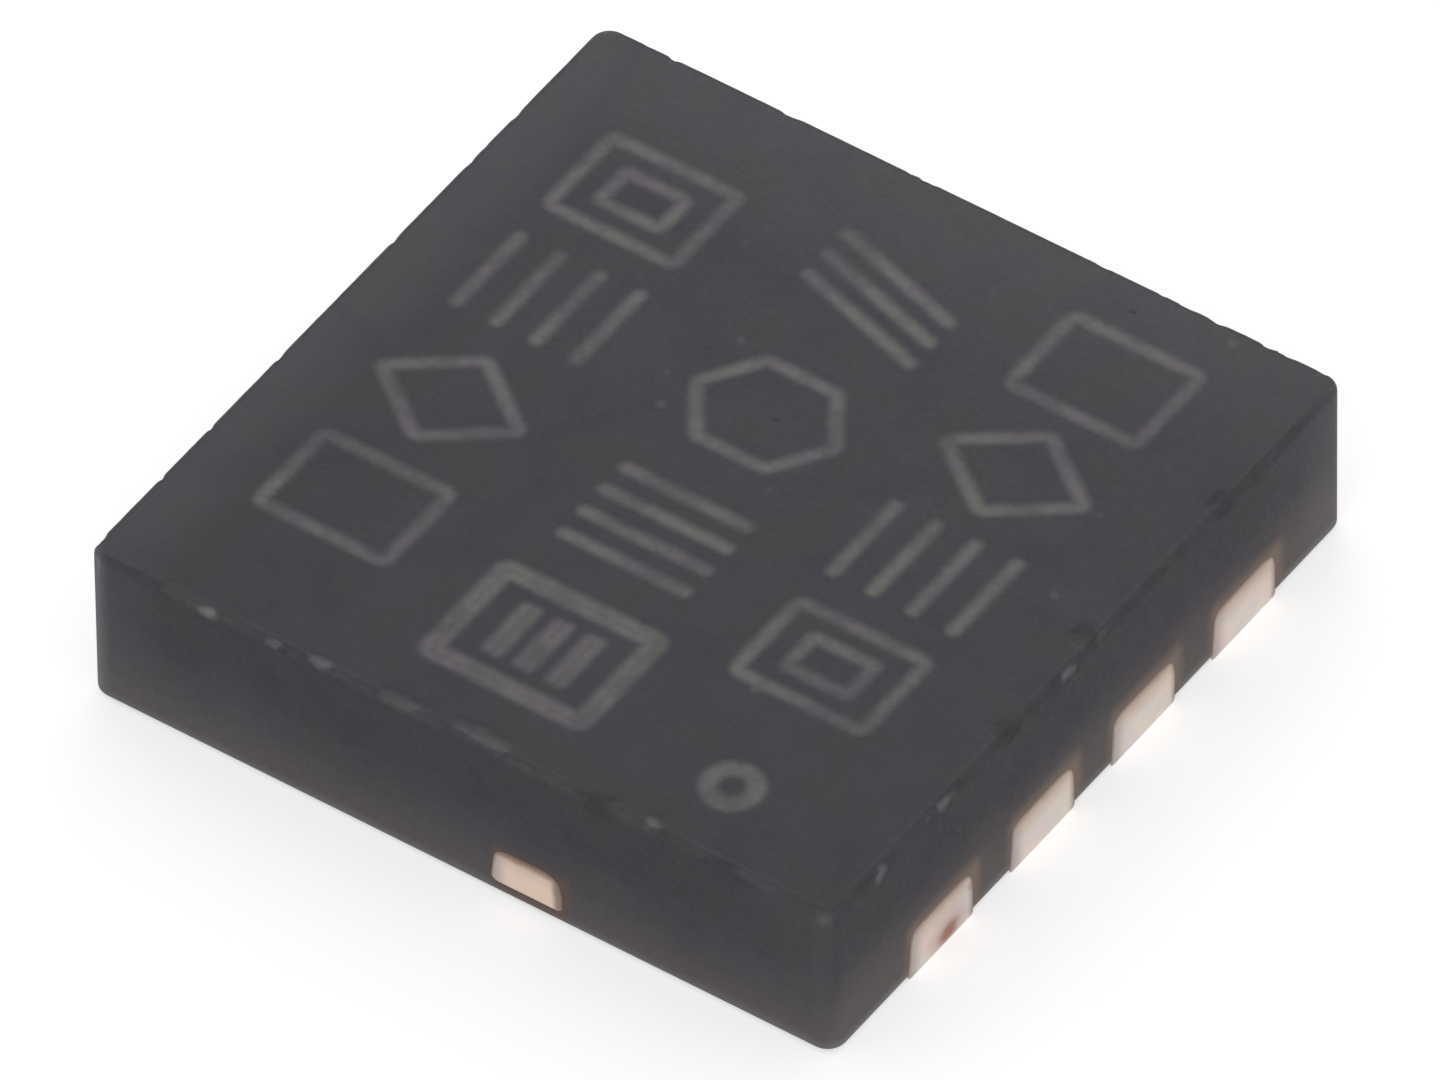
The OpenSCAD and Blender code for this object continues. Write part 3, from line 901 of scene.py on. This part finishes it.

# Worn spots given one by one: middle and half sizes in millimetres, and tone, from 1 for bare filler to -1
# for a shade
EDGE_SPOTS = (
    ((-1.65, 1.62, 0.69), (0.03, 0.03, 0.09), 0.45),
    ((-1.65, 1.11, 0.72), (0.03, 0.05, 0.03), 0.75),
    ((-1.65, 0.81, 0.73), (0.03, 0.05, 0.03), 0.55),
    ((-1.62, 0.62, 0.73), (0.03, 0.06, 0.03), 0.45),
    ((-1.63, 0.22, 0.73), (0.045, 0.20, 0.04), 0.20),
    ((-1.60, -0.10, 0.73), (0.045, 0.20, 0.04), 0.20),
    ((-1.61, -0.84, 0.73), (0.03, 0.04, 0.03), 0.50),
    ((-1.65, -0.63, 0.73), (0.06, 0.09, 0.06), -0.40),
    ((-1.64, -1.61, 0.69), (0.03, 0.04, 0.04), 0.20),
    ((-1.33, -1.65, 0.69), (0.04, 0.03, 0.04), 0.50),
    ((-0.93, -1.65, 0.71), (0.07, 0.03, 0.03), 0.48),
    ((-0.51, -1.64, 0.73), (0.07, 0.06, 0.05), -0.45),
    ((-0.13, -1.65, 0.71), (0.05, 0.03, 0.03), 0.50),
    ((0.04, -1.60, 0.73), (0.07, 0.07, 0.05), -0.45),
    ((0.87, -1.63, 0.73), (0.07, 0.06, 0.05), -0.35),
)
# Small chips at random: half size, stretch along the edge, depth below the top, and tone
CHIP_SIZE, CHIP_STRETCH, CHIP_DROP, CHIP_TONE = (0.012, 0.024), (1, 2.2), (0, 0.02), (-0.2, 0.4)
# Pits at random: share of the top face that has them, half size, height of the middle in half sizes, and tone
PIT_AREA, PIT_SIZE, PIT_RISE, PIT_TONE = 0.93, (0.010, 0.018), 0.6, (-0.25, 0.2)


def worn_spots(settings):
    """All the worn spots: those listed one by one, small chips round the top edge, and pits in the top face.
    """
    source = np.random.default_rng(settings.chip_seed)
    walls = np.array((wall_x, wall_y))
    spots = [
        WornSpot(np.multiply(middle, MM), np.multiply(reach, MM), tone) for middle, reach, tone in EDGE_SPOTS
    ]
    for _ in range(settings.chip_count):
        across = source.integers(2)
        middle = source.uniform(-1, 1, 2) * walls
        middle[across] = math.copysign(walls[across], middle[across])
        reach = np.full(3, source.uniform(*CHIP_SIZE) * MM)
        reach[1 - across] *= source.uniform(*CHIP_STRETCH)
        height = top_z - source.uniform(*CHIP_DROP) * MM
        spots.append(WornSpot((*middle, height), reach, source.uniform(*CHIP_TONE)))
    for _ in range(settings.pit_count):
        middle = source.uniform(-PIT_AREA, PIT_AREA, 2) * walls
        reach = np.full(3, source.uniform(*PIT_SIZE) * MM)
        spots.append(WornSpot((*middle, top_z + PIT_RISE * reach[2]), reach, source.uniform(*PIT_TONE)))
    return spots


def spot_points(spots):
    """A mesh of loose points, one for each worn spot, with its half sizes and its tone."""
    return point_object("worn_spots", [spot.middle for spot in spots], {
        "reach": [spot.reach for spot in spots],
        "tone": [spot.tone for spot in spots],
    })


def keep_piece(obj, slot, *replaced):
    """Smooths a finished piece, sets it under the body's empty and hides the parts of the frame that it
    replaces.
    """
    soften(obj.data)
    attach(obj, BODY)
    if replaced:
        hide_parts(*replaced)


class TRANSISTOR_OT_moulded_block(bpy.types.Operator):
    """Makes the moulded block with its chipped top edge and its laser marks"""

    bl_idname = "transistor.moulded_block"
    bl_label = "Moulded block and marks"

    def execute(self, context):
        body = context.scene.transistor_moulding
        marks = context.scene.transistor_marks
        strokes = mark_strokes(marks)
        spots = worn_spots(body)
        lines = stroke_curve(strokes)
        points = spot_points(spots)
        block = skinned_block(body, marks, strokes, spots)
        run_tree(block, worn_marked_tree(), {
            "Strokes": lines, "Stroke Width": marks.stroke, "Softness": marks.softness,
            "Depth": marks.depth, "Wobble": marks.wobble,
            "Worn Spots": points, "Chip Depth": body.chip_depth,
            "Half Length": wall_x, "Half Width": wall_y, "Top": top_z,
            "Edge Zone": body.edge_zone, "Edge Waver": body.edge_waver,
            "Seed": body.chip_seed, "Material": moulding_material(body, marks),
        })
        drop_object(lines)
        drop_object(points)
        keep_piece(block, "moulding", "mould_body")
        return {"FINISHED"}


# Smeared copper on the cut ends

# Steps of the rounded rim of a cap: inset in millimetres, and height as a share of the cap's rise
RIM_STEPS = ((0.0, -1.0), (0.001, 0.2), (0.0025, 0.7), (0.006, 1.0))
# How far in from its rim a cap wanders, and the height over the board where it does so fully, in millimetres
WANDER_REACH, WANDER_HEIGHT = 0.05, 0.02
# Distances from the rim, in millimetres, at which the saw's grooves start and are full
GROOVE_START = (0.002, 0.012)
# Pitch of the grooves as a share of their length
GROOVE_RATIO = 0.08


def cap_outline(width, height, under, settings):
    """Outline of the smeared copper on one cut end, anticlockwise, with the saw's exit corner cut most."""
    exit_side = width / 2 + settings.over_exit
    entry_side = settings.entry_gap - width / 2
    foot = entry_side - settings.foot_spread
    low, high = -height / 2 - under, height / 2 + settings.over_top
    corners = [(exit_side, high), (entry_side, high), (foot, low), (exit_side, low)]
    foot_corner = settings.foot_corner + under
    cuts = (settings.exit_corner, settings.entry_corner, foot_corner, foot_corner)
    return rounded(corners, *cuts, steps=10)


def cap_template(width, height, under, settings):
    """The smeared copper of one cut end, flat in XY: a thin closed piece with a rounded rim."""
    outline = cap_outline(width, height, under, settings)
    bm = bmesh.new()
    rings = []
    for inset, rise in RIM_STEPS:
        shrink = (1 - 2 * inset * MM / width, 1 - 2 * inset * MM / height)
        rings.append([
            bm.verts.new((x * shrink[0], y * shrink[1], rise * settings.cap_rise)) for x, y in outline
        ])
    for low, high in zip(rings, rings[1:]):
        ring_faces(bm, low, high)
    bm.faces.new(reversed(rings[0]))
    reach = (width / 2 + settings.foot_spread * 2, height / 2 + settings.over_top * 2)
    fill_ring(bm, rings[-1], lattice(*reach, settings.cap_step), settings.cap_rise)
    flat = np.array([vert.co.to_2d() for vert in bm.verts])
    values = {
        "from_rim": distance_to(flat, [(outline, True)]) / MM,
        "across": flat[:, 0] / width,
        "upward": flat[:, 1] / height,
    }
    for name, numbers in values.items():
        layer = bm.verts.layers.float.new(name)
        for vert, value in zip(bm.verts, numbers):
            vert[layer] = value
    return mesh_object("cap_template", bm)


def cap_tree():
    """Geometry Nodes: sets one cap on each cut end, lets its outline wander, and grooves it with the saw."""
    g = GeometryTree("smeared_caps", ("Cap",), ("Smear", "Smear Size", "Groove Depth", "Groove Pitch"))
    inputs = g.inputs
    turn = g.add("FunctionNodeEulerToRotation", i0=g.named("turn"))
    caps = g.add(
        "GeometryNodeInstanceOnPoints", Points=inputs["Geometry"], Instance=g.contents("Cap"), Rotation=turn,
    )
    real = g.add("GeometryNodeRealizeInstances", i0=caps)
    position = g.add("GeometryNodeInputPosition")
    from_rim, facing = g.named("from_rim", "FLOAT"), g.named("facing")

    # The rim wanders within the wall
    swirl = g.noise(position * (1.0 / inputs["Smear Size"]), 1.0, 3.0, 0.5, inputs["Seed"], "Color")
    wander = (swirl - (0.5, 0.5, 0.5)) * (inputs["Smear"] * 2.0)
    in_wall = wander - facing * g.dot(wander, facing)
    lifted = g.xyz(position)[2].ramp(0.0, WANDER_HEIGHT * MM)
    at_rim = in_wall * g.join(1.0, 1.0, lifted) * from_rim.ramp(WANDER_REACH, 0.0)

    # The saw's grooves run level
    across = 1.0 / inputs["Groove Pitch"]
    along = across * GROOVE_RATIO
    grooves = g.noise(position * g.join(along, along, across), seed=inputs["Seed"]) - 0.5
    cut = facing * (grooves * inputs["Groove Depth"] * from_rim.ramp(*GROOVE_START))
    return g.finish(g.add("GeometryNodeSetPosition", Geometry=real, Offset=at_rim + cut))


def cap_points(name, ends):
    """A mesh of points, one in the middle of each cut end, with how a cap there is turned."""
    up = Vector((0, 0, 1))
    turns = [Matrix((up.cross(end.facing), up, end.facing)).transposed().to_euler() for end in ends]
    return point_object(name, [end.middle for end in ends], {
        "turn": turns,
        "facing": [end.facing for end in ends],
    })


def cut_copper_material(settings):
    """Sawn copper: pale and streaked level along the cut, browner where the saw entered and at its rim."""
    g = Finish("sawn_copper")
    spot = g.spot
    rim, across, upward = (g.attribute(name) for name in ("from_rim", "across", "upward"))
    streaks = g.noise(spot * COPPER_STRETCH)
    blotches = g.noise(spot, 9.0, roughness=0.55)
    patches = streaks * 0.35 + blotches * 0.65
    on_tie = near_wall(g.xyz(spot)[0], wall_x)
    yellowish = g.noise(spot, 6.0, 2.0, 0.5).ramp(0.42, 0.58)
    greyish = g.noise(spot + (3.0, 1.0, 2.0), 4.5, 2.0, 0.5).ramp(0.42, 0.60, 0.0, 0.8)

    # Painted shade, darker towards the upper edge and most along the top of the tie bars, and only a thin
    # smear where the saw enters
    shade = g.most((patches * 0.3 + upward).ramp(0.12, 0.64), patches.ramp(0.52, 0.68, 0.0, 0.35))
    thin = (patches * 0.12 + across).ramp(-0.18, -0.44) * 0.9
    shade_on_tie = (patches * 0.15 + upward).ramp(0.48, 0.80, 0.0, 0.9) * on_tie
    shade_at_top = (patches * 0.2 + upward).ramp(0.46, 0.76, 0.0, 0.6)
    at_exit = (patches * 0.1 + (on_tie * 0.06 + across)).ramp(0.50, 0.64, 0.0, 0.8)

    # One scorched spot
    size = settings.scorch_size / MM
    from_scorch = spot - (settings.scorch_x / MM, -wall_y / MM, settings.scorch_z / MM)
    from_scorch = patches * 1.4 + g.size(from_scorch * (1.7 / size, 1 / size, 2.3 / size))
    edge = (blotches * 0.012 + rim).ramp(0.022, 0.004) * upward.ramp(-0.5, -0.3, 0.0, 0.65)
    tint = g.layers(
        settings.cut_colour,
        (yellowish, settings.cut_yellow),
        (greyish, settings.cut_grey),
        (on_tie * 0.85, settings.tie_colour),
        (shade, settings.cut_shade),
        (thin, settings.smear_colour),
        # Painted shade along the top of the tie bars and of every cut end, laid over the oxide where the saw
        # leaves
        (shade_on_tie, settings.scorch_and_shade_colour),
        (g.most(shade_at_top, at_exit), settings.rim_and_shade_colour),
        (from_scorch.ramp(3.0, 1.2, 0.0, 0.4), settings.scorch_and_shade_colour),
        (from_scorch.ramp(1.75, 1.0, 0.0, 0.95), settings.scorch_and_shade_colour),
        (edge, settings.rim_and_shade_colour),
    )
    rough = streaks.ramp(0.2, 0.8, 0.42, 0.62)
    return g.done(streaks + blotches, 0.001, Base_Color=tint, Metallic=0.5, Roughness=rough)


class TRANSISTOR_OT_cut_ends(bpy.types.Operator):
    """Makes the smeared copper on the sawn ends of the leads and tie bars"""

    bl_idname = "transistor.cut_ends"
    bl_label = "Cut lead ends"

    def execute(self, context):
        settings = context.scene.transistor_leads
        material = cut_copper_material(settings)
        tree = cap_tree()
        paddle = cut_ends("drain_paddle")
        groups = {
            "source_lead_ends": cut_ends("source_lead"),
            "gate_lead_end": cut_ends("gate_lead"),
            "drain_lead_ends": [end for end in paddle if end.facing.y],
            "tie_bar_ends": [end for end in paddle if end.facing.x],
        }
        for name, ends in groups.items():
            if not ends:
                raise RuntimeError(f"no cut end was found for {name}")
            first = ends[0]
            under = min(settings.over_foot, first.middle.z - first.height / 2)
            template = cap_template(first.width, first.height, under, settings)
            caps = cap_points(name, ends)
            run_tree(caps, tree, {
                "Cap": template, "Smear": settings.smear, "Smear Size": settings.smear_size,
                "Groove Depth": settings.groove_depth, "Groove Pitch": settings.groove_pitch,
                "Seed": settings.seed, "Material": material,
            })
            drop_object(template)
            keep_piece(caps, "frame_copper")
        return {"FINISHED"}


# Lead frame and inner pieces

def dress(nodes, material):
    """Puts a material on nodes of the frame."""
    for node in nodes:
        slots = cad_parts[node].data.materials
        slots.clear()
        slots.append(material)


def frame_copper_material(settings):
    """Lead frame: brown sawn copper in the walls, matt tin on the solder faces, rolled copper inside."""
    g = Finish("frame_copper")
    x, y, z = g.xyz(g.spot)
    blotches = g.noise(g.spot, 14.0, 4.0)
    grains = g.noise(g.spot, 70.0, 2.0)
    at_wall = g.most(near_wall(x, wall_x, CUT_REACH), near_wall(y, wall_y, CUT_REACH))
    tin = g.mix(grains.ramp(0.35, 0.7, 0.0, 0.5), settings.tin_colour, settings.tin_shade)
    tint = g.layers(
        settings.copper_colour,
        (blotches.ramp(0.35, 0.7, 0.0, 0.5), settings.rim_and_shade_colour),
        (at_wall, settings.rim_and_shade_colour),
        (z.ramp(0.014, 0.006), tin),
    )
    rough = grains.ramp(0.2, 0.8, 0.36, 0.56)
    return g.done(grains + blotches, 0.003, Base_Color=tint, Metallic=0.8, Roughness=rough)


def metal_material(name, tint, darkest, grain_scale, roughness, metallic=0.9):
    """Plain metal or polished die with a fine grain and a soft change of tint, down to a darkest share."""
    g = Finish(name)
    grain = g.noise(g.spot, grain_scale)
    cloudy = g.noise(g.spot, 5.0, 2.0, 0.5).ramp(0.3, 0.7, 0.0, 0.6)
    tint = g.mix(cloudy, tint, tuple(channel * darkest for channel in tint))
    rough = grain.ramp(0.2, 0.8, roughness - 0.08, roughness + 0.08)
    return g.done(grain, 0.001, 0.4, Base_Color=tint, Metallic=metallic, Roughness=rough)


class TRANSISTOR_OT_frame_finish(bpy.types.Operator):
    """Gives the copper lead frame its sawn, rolled and tinned finish"""

    bl_idname = "transistor.frame_finish"
    bl_label = "Lead frame finish"

    def execute(self, context):
        leads = ("drain_paddle", "source_lead", "gate_lead")
        dress(leads, frame_copper_material(context.scene.transistor_leads))
        return {"FINISHED"}


class TRANSISTOR_OT_inner_finish(bpy.types.Operator):
    """Gives the die, its solder, its clip and its wire their finishes"""

    bl_idname = "transistor.inner_finish"
    bl_label = "Inner pieces"

    def execute(self, context):
        inner = context.scene.transistor_inner
        copper = context.scene.transistor_leads.copper_colour
        solder = ("die_attach_solder", "clip_die_solder", "clip_lead_solder")
        dress(solder, metal_material("dull_solder", inner.solder_colour, 0.7, 40.0, 0.45))
        dress(["silicon_die"], metal_material("polished_silicon", inner.silicon_colour, 0.7, 90.0, 0.25, 0.5))
        dress(["source_clip"], metal_material("rolled_copper", copper, 0.8, 30.0, 0.4))
        dress(["gate_wire"], metal_material("drawn_wire", inner.wire_colour, 0.85, 120.0, 0.3))
        return {"FINISHED"}


# Stage

WHITE = (1.0, 1.0, 1.0)
# Width of the sensor in millimetres, and the camera's clipping as shares of its distance
SENSOR, CLIP_START, CLIP_END = 36, 0.1, 10
FLOOR_SIDES = 64
# Each lamp: azimuth and elevation in degrees, and distance and size in millimetres
LAMPS = {"back_lamp": (116, 35, 8, 5), "side_lamp": (-75, 25, 70, 50)}


def look_back(azimuth, elevation):
    """Direction from the object to the camera."""
    level = math.cos(elevation)
    return Vector((math.sin(azimuth) * level, -math.cos(azimuth) * level, math.sin(elevation)))


def make_camera(settings):
    """A long lens at the photograph's angle, so the block's edges run almost parallel."""
    data = bpy.data.cameras.new("camera")
    data.lens = settings.lens
    data.sensor_width = SENSOR
    data.clip_start = settings.distance * CLIP_START
    data.clip_end = settings.distance * CLIP_END
    camera = new_object("camera", data)
    back = look_back(settings.azimuth, settings.elevation)
    right = Vector((math.cos(settings.azimuth), math.sin(settings.azimuth), 0))
    up = back.cross(right)
    aim = Vector((0, 0, (block_low.z + top_z) / 2)) + right * settings.aim_right + up * settings.aim_up
    turned = Matrix((right, up, back)).transposed() @ Matrix.Rotation(settings.roll, 3, "Z")
    camera.matrix_world = Matrix.Translation(aim + back * settings.distance) @ turned.to_4x4()
    bpy.context.scene.camera = camera


def seen_as_background(g):
    """One for a ray from the camera or off gloss or through glass, and nought for one that lights a piece."""
    seen = g.add("ShaderNodeLightPath", outputs="Is Camera Ray")
    return g.most(seen, seen.sibling("Is Glossy Ray"), seen.sibling("Is Transmission Ray"))


def floor_material(settings):
    """Pale floor that reads as white to the camera, keeps the shadow, and is clear from below."""
    material = bpy.data.materials.new("pale_floor")
    material.use_nodes = True
    g = Graph(material.node_tree)
    nodes = material.node_tree.nodes
    nodes.remove(nodes["Principled BSDF"])
    matt = g.add("ShaderNodeBsdfDiffuse", Color=settings.floor_colour)
    lift = g.add("ShaderNodeEmission", Strength=seen_as_background(g) * settings.floor_lift)
    lifted = g.add("ShaderNodeAddShader", i0=matt, i1=lift)

    # A view from below looks through the floor, so what lies on it is lit as if the floor weren't there
    close = g.add("ShaderNodeLightPath", outputs="Ray Length") < settings.under_reach
    bright = g.add("ShaderNodeEmission", Strength=settings.under_light)
    lifted = g.add("ShaderNodeMixShader", i0=close, i1=lifted, i2=bright)
    below = g.add("ShaderNodeNewGeometry", outputs="Backfacing")
    clear = g.add("ShaderNodeBsdfTransparent", Color=WHITE)
    g.feed(nodes["Material Output"], Surface=g.add("ShaderNodeMixShader", i0=below, i1=lifted, i2=clear))
    return material


def make_floor(settings):
    bm = bmesh.new()
    bmesh.ops.create_circle(bm, cap_ends=True, segments=FLOOR_SIDES, radius=settings.floor_radius)
    bmesh.ops.translate(bm, verts=bm.verts, vec=(0, 0, -settings.floor_gap))
    floor = mesh_object("floor", bm)
    floor.data.materials.append(floor_material(settings))


def make_sky(settings):
    """Even light from all round, which the camera sees as white."""
    world = bpy.data.worlds.new("studio")
    bpy.context.scene.world = world
    world.use_nodes = True
    g = Graph(world.node_tree)
    seen = seen_as_background(g)
    strength = g.add("ShaderNodeMapRange", i0=seen, i1=0.0, i2=1.0, i3=settings.sky, i4=1.0)
    g.feed(world.node_tree.nodes["Background"], Color=WHITE, Strength=strength)


def make_lamp(name, azimuth, elevation, distance, size, brightness):
    """A square area lamp that faces the object, with its brightness as seen from the object."""
    data = bpy.data.lights.new(name, "AREA")
    data.size = size * MM
    data.energy = brightness * math.pi * data.size * data.size
    lamp = new_object(name, data)
    back = look_back(math.radians(azimuth), math.radians(elevation))
    lamp.location = back * distance * MM
    lamp.rotation_euler = back.to_track_quat("Z", "Y").to_euler()


class TRANSISTOR_OT_stage(bpy.types.Operator):
    """Sets up the camera, the pale floor and the soft studio light"""

    bl_idname = "transistor.stage"
    bl_label = "Stage"

    def execute(self, context):
        settings = context.scene.transistor_stage
        context.scene.view_settings.view_transform = "Standard"
        make_camera(settings)
        make_floor(settings)
        make_sky(settings)
        for name, spot in LAMPS.items():
            make_lamp(name, *spot, getattr(settings, name))
        return {"FINISHED"}


class TRANSISTOR_PT_panel(bpy.types.Panel):
    """Lists the steps and their settings"""

    bl_idname = "TRANSISTOR_PT_panel"
    bl_label = "Leadless power transistor"
    bl_space_type = "VIEW_3D"
    bl_region_type = "UI"
    bl_category = "Transistor"

    def draw(self, context):
        for name, (group, *steps) in GROUPS.items():
            box = self.layout.box()
            for step in steps:
                box.operator(step.bl_idname)
            for field in group.__annotations__:
                box.prop(getattr(context.scene, name), field)


# Each group of settings, with the steps that use it
GROUPS = {
    "transistor_moulding": (MouldingSettings, TRANSISTOR_OT_moulded_block),
    "transistor_marks": (MarkSettings,),
    "transistor_leads": (LeadSettings, TRANSISTOR_OT_cut_ends, TRANSISTOR_OT_frame_finish),
    "transistor_inner": (InnerSettings, TRANSISTOR_OT_inner_finish),
    "transistor_stage": (StageSettings, TRANSISTOR_OT_stage),
}
CLASSES = (*chain(*GROUPS.values()), TRANSISTOR_PT_panel)


def register():
    for item in CLASSES:
        bpy.utils.register_class(item)
    for name, (group, *_) in GROUPS.items():
        setattr(bpy.types.Scene, name, PointerProperty(type=group))


def unregister():
    for name in GROUPS:
        delattr(bpy.types.Scene, name)
    for item in reversed(CLASSES):
        bpy.utils.unregister_class(item)


def main():
    register()
    bpy.ops.transistor.stage()
    bpy.ops.transistor.moulded_block()
    bpy.ops.transistor.cut_ends()
    bpy.ops.transistor.frame_finish()
    bpy.ops.transistor.inner_finish()


if __name__ == "__main__":
    main()
